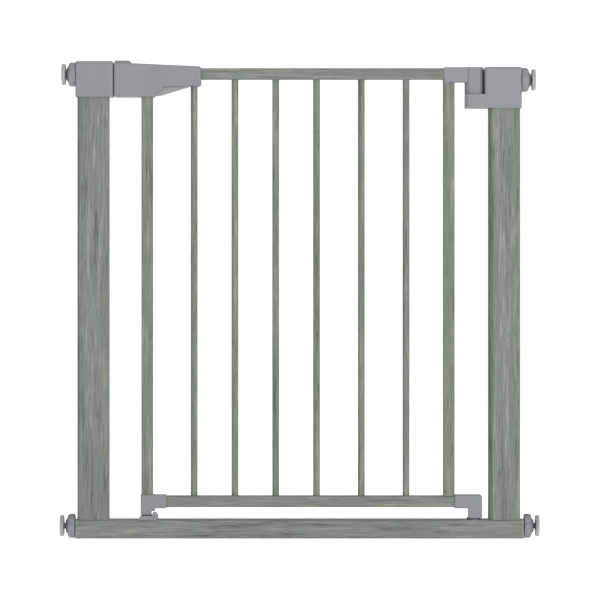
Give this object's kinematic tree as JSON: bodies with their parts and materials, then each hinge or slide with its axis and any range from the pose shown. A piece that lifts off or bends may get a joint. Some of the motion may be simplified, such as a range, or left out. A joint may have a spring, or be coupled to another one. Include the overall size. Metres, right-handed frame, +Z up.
{
  "type": "safety gate",
  "caption": "Pressure-fit stair and doorway gate: a U-shaped tube frame with threaded wall pads and a barred swing door with a slide-and-squeeze latch.",
  "frame": {"origin": "on the floor plane under the bottom bar, midway between the outer faces of the two lower wall pads, at mid-depth", "axes": "+X from the latch side to the hinge side along the bottom bar, +Y from the front to the back through the gate's thickness, +Z up"},
  "size_m": [0.7684, 0.0384, 0.7653],
  "materials": {
    "wood_film": "grey-green wood-grain film on steel tube, satin",
    "grey_plastic": "fine satin moulded",
    "light_plastic": "satin moulded",
    "rubber_face": "matt",
    "dark_nylon": "matt",
    "steel": "zinc plated"
  },
  "bodies": {
    "frame": {"bottom_bar": "wood_film", "left_post": "wood_film", "right_post": "wood_film", "bar_end_cap_left": "grey_plastic", "bar_end_cap_right": "grey_plastic", "latch_cap": "grey_plastic", "hinge_cap": "grey_plastic", "upper_hinge_pin": "steel", "hinge_washer": "dark_nylon", "lower_hinge_pin": "steel", "lower_hinge_bush": "dark_nylon", "catch_saddle": "grey_plastic", "cap_screws": "steel", "saddle_screws": "steel"},
    "door": {"top_rail": "wood_film", "bottom_rail": "wood_film", "latch_stile": "wood_film", "hinge_stile": "wood_film", "upright_rod_1": "wood_film", "upright_rod_2": "wood_film", "upright_rod_3": "wood_film", "upright_rod_4": "wood_film", "upright_rod_5": "wood_film", "upright_rod_6": "wood_film", "hinge_arm": "grey_plastic", "lower_hinge_bracket": "grey_plastic", "latch_foot": "grey_plastic", "handle_front_shell": "grey_plastic", "handle_rear_shell": "grey_plastic", "handle_screws": "steel", "trigger_pin": "steel"},
    "latch_bolt": {"latch_bolt": "steel", "thumb_slide": "grey_plastic", "bolt_spring": "steel"},
    "trigger": {"trigger": "light_plastic", "trigger_spring": "steel"},
    "foot_bolt": {"release_rod": "steel", "foot_pin": "steel"},
    "stop_tab": {"stop_tab": "grey_plastic"},
    "adjuster_bottom_left": {"adjuster_wheel_bottom_left": "grey_plastic"},
    "spindle_bottom_left": {"spindle_bottom_left": "steel", "wall_pad_bottom_left": "light_plastic", "pad_rubber_bottom_left": "rubber_face"},
    "adjuster_bottom_right": {"adjuster_wheel_bottom_right": "grey_plastic"},
    "spindle_bottom_right": {"spindle_bottom_right": "steel", "wall_pad_bottom_right": "light_plastic", "pad_rubber_bottom_right": "rubber_face"},
    "adjuster_top_left": {"adjuster_wheel_top_left": "grey_plastic"},
    "spindle_top_left": {"spindle_top_left": "steel", "wall_pad_top_left": "light_plastic", "pad_rubber_top_left": "rubber_face"},
    "adjuster_top_right": {"adjuster_wheel_top_right": "grey_plastic"},
    "spindle_top_right": {"spindle_top_right": "steel", "wall_pad_top_right": "light_plastic", "pad_rubber_top_right": "rubber_face"}
  },
  "joints": [
    {"name": "door_hinge", "type": "hinge", "parent": "frame", "child": "door", "pos_m": [0.2797, 0, 0], "axis": [0, 0, 1], "range_deg": [-90, 90]},
    {"name": "bolt_slide", "type": "slide", "parent": "door", "child": "latch_bolt", "axis": [-1, 0, 0], "range_m": [0, 0.01], "stiffness_N_per_m": 60, "springref_m": 0.012, "deforming": ["bolt_spring"]},
    {"name": "trigger_squeeze", "type": "hinge", "parent": "door", "child": "trigger", "pos_m": [-0.182, 0, 0.7285], "axis": [0, -1, 0], "range_deg": [0, 5.87], "stiffness_Nm_per_rad": 0.3, "springref_deg": 12.61, "deforming": ["trigger_spring"]},
    {"name": "foot_slide", "type": "slide", "parent": "door", "child": "foot_bolt", "axis": [0, 0, -1], "range_m": [0, 0.0065]},
    {"name": "stop_slide", "type": "slide", "parent": "frame", "child": "stop_tab", "axis": [-1, 0, 0], "range_m": [0, 0.008]},
    {"name": "wheel_turn_bottom_left", "type": "hinge", "parent": "frame", "child": "adjuster_bottom_left", "pos_m": [-0.3598, 0, 0.0194], "axis": [-1, 0, 0], "range_deg": [0, 3360]},
    {"name": "spindle_slide_bottom_left", "type": "slide", "parent": "frame", "child": "spindle_bottom_left", "axis": [-1, 0, 0], "range_m": [0, 0.0281]},
    {"name": "wheel_turn_bottom_right", "type": "hinge", "parent": "frame", "child": "adjuster_bottom_right", "pos_m": [0.3598, 0, 0.0194], "axis": [1, 0, 0], "range_deg": [0, 3360]},
    {"name": "spindle_slide_bottom_right", "type": "slide", "parent": "frame", "child": "spindle_bottom_right", "axis": [1, 0, 0], "range_m": [0, 0.0281]},
    {"name": "wheel_turn_top_left", "type": "hinge", "parent": "frame", "child": "adjuster_top_left", "pos_m": [-0.3586, 0, 0.7434], "axis": [-1, 0, 0], "range_deg": [0, 3360]},
    {"name": "spindle_slide_top_left", "type": "slide", "parent": "frame", "child": "spindle_top_left", "axis": [-1, 0, 0], "range_m": [0, 0.0281]},
    {"name": "wheel_turn_top_right", "type": "hinge", "parent": "frame", "child": "adjuster_top_right", "pos_m": [0.3555, 0, 0.7348], "axis": [1, 0, 0], "range_deg": [0, 3360]},
    {"name": "spindle_slide_top_right", "type": "slide", "parent": "frame", "child": "spindle_top_right", "axis": [1, 0, 0], "range_m": [0, 0.0281]}
  ],
  "couplings": [
    {"joint": "foot_slide", "follows": "trigger_squeeze", "m_per_rad": 0.06345},
    {"joint": "spindle_slide_bottom_left", "follows": "wheel_turn_bottom_left", "m_per_rad": 0.00047746},
    {"joint": "spindle_slide_bottom_right", "follows": "wheel_turn_bottom_right", "m_per_rad": 0.00047746},
    {"joint": "spindle_slide_top_left", "follows": "wheel_turn_top_left", "m_per_rad": 0.00047746},
    {"joint": "spindle_slide_top_right", "follows": "wheel_turn_top_right", "m_per_rad": 0.00047746}
  ]
}
